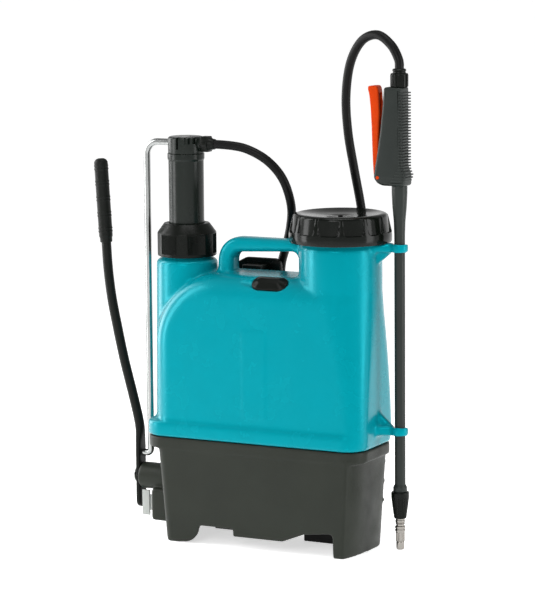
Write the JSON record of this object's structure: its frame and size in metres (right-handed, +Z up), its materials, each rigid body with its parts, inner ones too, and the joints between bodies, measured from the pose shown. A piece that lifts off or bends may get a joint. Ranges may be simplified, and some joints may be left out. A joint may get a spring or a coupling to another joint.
{
  "type": "backpack sprayer",
  "caption": "Upright knapsack sprayer: teal tank on a dark stand, side pump lever and rod, telescoping pressure chamber, screw filler cap, parked lance with orange trigger, hose and straps.",
  "frame": {"origin": "bottom centre of the bounding box, measured without the hose", "axes": "+Z up; the front with the arched panel faces -Y and the straps +Y; the pump lever is at -X and the lance at +X"},
  "size_m": [0.4876, 0.1804, 0.7118],
  "materials": {
    "teal_plastic": "satin blow-moulded polyethylene",
    "charcoal_plastic": "fine-grained moulded plastic",
    "black_plastic": "satin moulded plastic",
    "black_rubber": "matt rubber",
    "orange_plastic": "satin moulded plastic",
    "zinc_steel": "bright zinc plate",
    "nickel_brass": "nickel-plated brass",
    "black_webbing": "woven polyester",
    "black_pad_fabric": "polyester mesh over foam",
    "white_plastic": "natural polypropylene"
  },
  "bodies": {
    "tank_body": {"tank": "teal_plastic", "base_housing": "charcoal_plastic", "pivot_bracket": "zinc_steel", "strap_anchor_plug": "black_plastic", "pump_nut": "black_plastic", "pump_gland_seal": "black_rubber", "pump_barrel": "white_plastic", "foot_valve": "black_plastic", "filler_strainer": "white_plastic", "strap_yoke": "black_plastic", "hose_clip": "black_plastic", "rubber_foot_left": "black_rubber", "rubber_foot_right": "black_rubber", "shoulder_pad_left": "black_pad_fabric", "shoulder_pad_right": "black_pad_fabric", "strap_webbing_left": "black_webbing", "strap_webbing_right": "black_webbing", "strap_buckle_left": "black_plastic", "strap_buckle_right": "black_plastic", "strap_hook_left": "black_plastic", "strap_hook_right": "black_plastic", "hose_pump_side": "black_rubber", "hose_lance_side": "black_rubber"},
    "lever": {"lever_tube": "black_plastic", "lever_grip": "black_plastic", "pivot_shaft": "zinc_steel", "shaft_retaining_washer": "zinc_steel"},
    "pressure_chamber": {"pump_chamber": "charcoal_plastic", "pump_head": "charcoal_plastic", "piston_cup": "black_rubber", "dip_tube": "white_plastic", "pump_hose_nut": "black_plastic"},
    "rod": {"connecting_rod": "zinc_steel"},
    "cap_lifter": {"cap_seal": "black_rubber"},
    "cap": {"filler_cap": "black_plastic", "cap_vent_valve": "black_rubber"},
    "lance": {"handle_shell_front": "charcoal_plastic", "handle_shell_rear": "charcoal_plastic", "valve_housing": "nickel_brass", "trigger_pin": "orange_plastic", "trigger_spring": "zinc_steel", "handle_hose_nut": "black_plastic", "lance_tube": "charcoal_plastic"},
    "trigger_lever": {"trigger": "orange_plastic"},
    "valve_stem": {"valve_plunger": "nickel_brass"},
    "nozzle": {"nozzle_nut": "black_plastic", "nozzle_body": "nickel_brass", "nozzle_tip": "nickel_brass"},
    "inlet_ball": {"inlet_valve_ball": "zinc_steel"},
    "outlet_ball": {"outlet_valve_ball": "zinc_steel"}
  },
  "joints": [
    {"name": "lever_swing", "type": "hinge", "parent": "tank_body", "child": "lever", "pos_m": [-0.1762, -0.0202, 0.0775], "axis": [-1, 0, 0], "range_deg": [0, 80]},
    {"name": "pump_stroke", "type": "slide", "parent": "tank_body", "child": "pressure_chamber", "axis": [0, 0, -1], "range_m": [0, 0.02803]},
    {"name": "rod_tilt", "type": "hinge", "parent": "pressure_chamber", "child": "rod", "pos_m": [-0.1592, -0.0202, 0.552], "axis": [1, 0, 0], "range_deg": [0, 4.16]},
    {"name": "cap_turn", "type": "hinge", "parent": "cap_lifter", "child": "cap", "pos_m": [0.1398, -0.0202, 0.44], "axis": [0, 0, 1], "range_deg": [0, 540]},
    {"name": "cap_lift", "type": "slide", "parent": "tank_body", "child": "cap_lifter", "axis": [0, 0, 1], "range_m": [0, 0.00901]},
    {"name": "lance_release", "type": "slide", "parent": "tank_body", "child": "lance", "axis": [0, 1, 0], "range_m": [0, 0.06]},
    {"name": "trigger_pull", "type": "hinge", "parent": "lance", "child": "trigger_lever", "pos_m": [0.2015, -0.0202, 0.517], "axis": [0, 1, 0], "range_deg": [0, 5.5], "stiffness_Nm_per_rad": 4, "springref_deg": -5.73},
    {"name": "valve_push", "type": "slide", "parent": "lance", "child": "valve_stem", "axis": [1, 0, 0], "range_m": [0, 0.00434]},
    {"name": "nozzle_turn", "type": "hinge", "parent": "lance", "child": "nozzle", "pos_m": [0.2278, -0.0202, 0.07], "axis": [0, 0, 1], "range_deg": [0, 360]},
    {"name": "inlet_ball_lift", "type": "slide", "parent": "tank_body", "child": "inlet_ball", "axis": [0, 0, 1], "range_m": [0, 0.004]},
    {"name": "outlet_ball_lift", "type": "slide", "parent": "pressure_chamber", "child": "outlet_ball", "axis": [0, 0, 1], "range_m": [0, 0.004]}
  ],
  "couplings": [
    {"joint": "pump_stroke", "follows": "lever_swing", "m_per_rad": 0.020066},
    {"joint": "rod_tilt", "follows": "lever_swing", "ratio": 0.051907},
    {"joint": "cap_lift", "follows": "cap_turn", "m_per_rad": 0.00095493},
    {"joint": "valve_push", "follows": "trigger_pull", "m_per_rad": 0.045}
  ]
}
